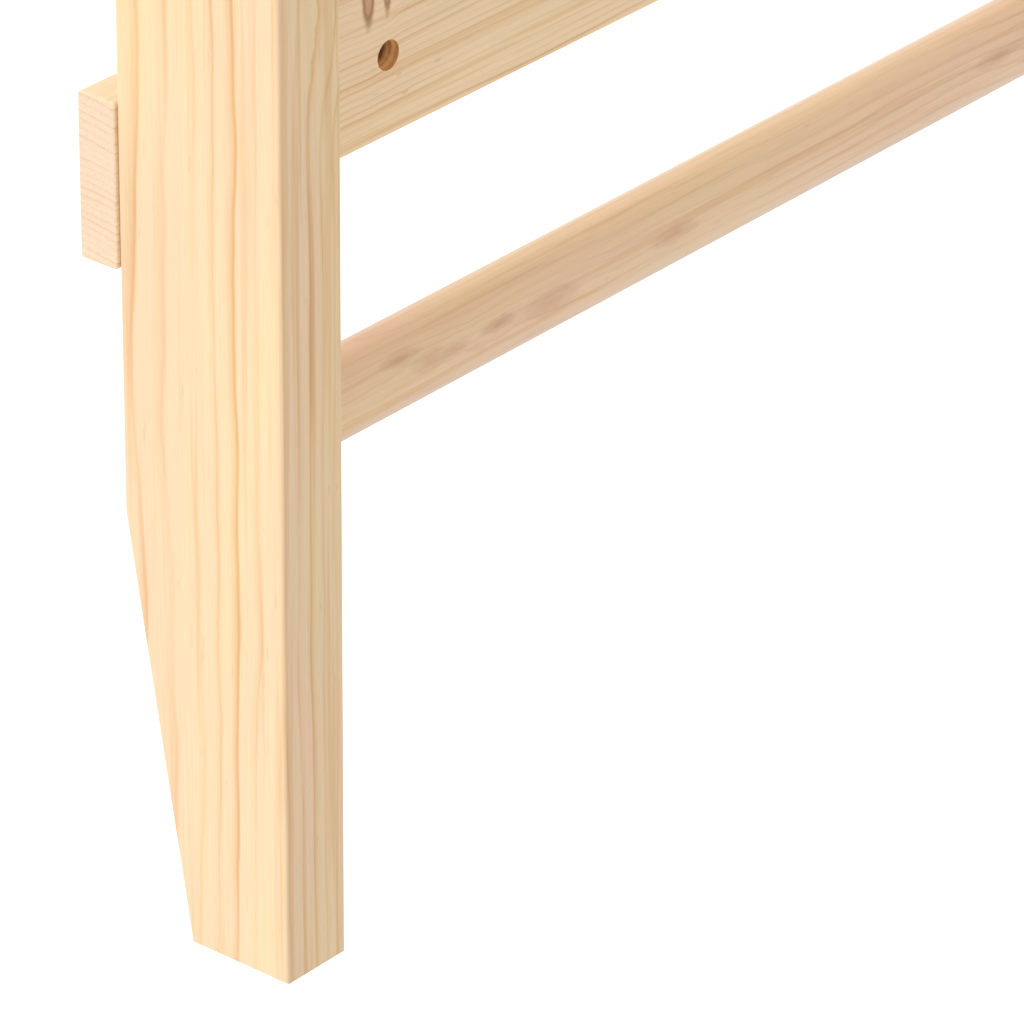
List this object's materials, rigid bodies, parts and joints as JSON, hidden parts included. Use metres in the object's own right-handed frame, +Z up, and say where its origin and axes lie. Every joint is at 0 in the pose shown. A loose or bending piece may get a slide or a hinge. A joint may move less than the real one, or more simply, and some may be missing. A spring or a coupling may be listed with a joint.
{
  "type": "ceiling mounted pulley rack",
  "caption": "Pine ladder drying rack that hangs from a ceiling frame on hinge bolts and swings up flat when cords over the pulleys pull it.",
  "frame": {"origin": "centre of the four ceiling bolt holes, in the ceiling plane (the top faces of the runners)", "axes": "+X to the right along the rails, +Y from the hinge towards the pulleys, +Z up into the ceiling; stored with the rack hanging straight down"},
  "size_m": [1.04, 0.63, 0.956],
  "materials": {
    "pine_frame": "planed pine, clear matt",
    "pine_rail": "turned pine, sanded",
    "pine_board": "planed pine, clear matt",
    "black_steel": "satin black powder coat",
    "zinc_steel": "bright zinc plate",
    "bush_metal": "plain brass",
    "nylon": "moulded off-white nylon"
  },
  "bodies": {
    "ceiling_frame": {"bracket_screws": "zinc_steel", "ceiling_runner_left": "pine_frame", "ceiling_runner_right": "pine_frame", "frame_screws_left": "zinc_steel", "frame_screws_right": "zinc_steel", "front_cross_rail": "pine_frame", "hinge_bracket_left": "black_steel", "hinge_bracket_right": "black_steel", "pivot_bolt_left": "zinc_steel", "pivot_bolt_right": "zinc_steel", "pivot_nuts": "zinc_steel", "pivot_washers": "zinc_steel", "pulley_plate_left": "black_steel", "pulley_plate_right": "black_steel", "pulley_plate_screws": "zinc_steel", "rear_cross_rail": "pine_frame", "stop_pins": "zinc_steel", "swivel_pin_left": "zinc_steel", "swivel_pin_right": "zinc_steel"},
    "rack": {"hanging_rail_1": "pine_rail", "hanging_rail_2": "pine_rail", "hanging_rail_3": "pine_rail", "hanging_rail_4": "pine_rail", "lower_board": "pine_board", "lower_board_screws": "zinc_steel", "pivot_bush_left": "bush_metal", "pivot_bush_right": "bush_metal", "rack_upright_left": "pine_frame", "rack_upright_right": "pine_frame", "upper_board": "pine_board", "upper_board_screws": "zinc_steel"},
    "pulley_block_left": {"pulley_strap_left": "black_steel", "sheave_axle_left": "zinc_steel"},
    "pulley_block_right": {"pulley_strap_right": "black_steel", "sheave_axle_right": "zinc_steel"},
    "sheave_left": {"sheave_bush_left": "bush_metal", "sheave_left": "nylon"},
    "sheave_right_front": {"sheave_bush_right_front": "bush_metal", "sheave_right_front": "nylon"},
    "sheave_right_rear": {"sheave_bush_right_rear": "bush_metal", "sheave_right_rear": "nylon"}
  },
  "joints": [
    {"name": "rack_swing", "type": "hinge", "parent": "ceiling_frame", "child": "rack", "pos_m": [0, -0.26, -0.14], "axis": [1, 0, 0], "range_deg": [0, 90]},
    {"name": "left_block_swivel", "type": "hinge", "parent": "ceiling_frame", "child": "pulley_block_left", "pos_m": [-0.365, 0.28, -0.035], "axis": [0, 0, 1], "continuous": true},
    {"name": "right_block_swivel", "type": "hinge", "parent": "ceiling_frame", "child": "pulley_block_right", "pos_m": [0.365, 0.28, -0.035], "axis": [0, 0, 1], "continuous": true},
    {"name": "left_sheave_spin", "type": "hinge", "parent": "pulley_block_left", "child": "sheave_left", "pos_m": [-0.365, 0.28, -0.064], "axis": [0, 1, 0], "continuous": true},
    {"name": "right_front_sheave_spin", "type": "hinge", "parent": "pulley_block_right", "child": "sheave_right_front", "pos_m": [0.365, 0.2745, -0.064], "axis": [0, 1, 0], "continuous": true},
    {"name": "right_rear_sheave_spin", "type": "hinge", "parent": "pulley_block_right", "child": "sheave_right_rear", "pos_m": [0.365, 0.2855, -0.064], "axis": [0, 1, 0], "continuous": true}
  ]
}
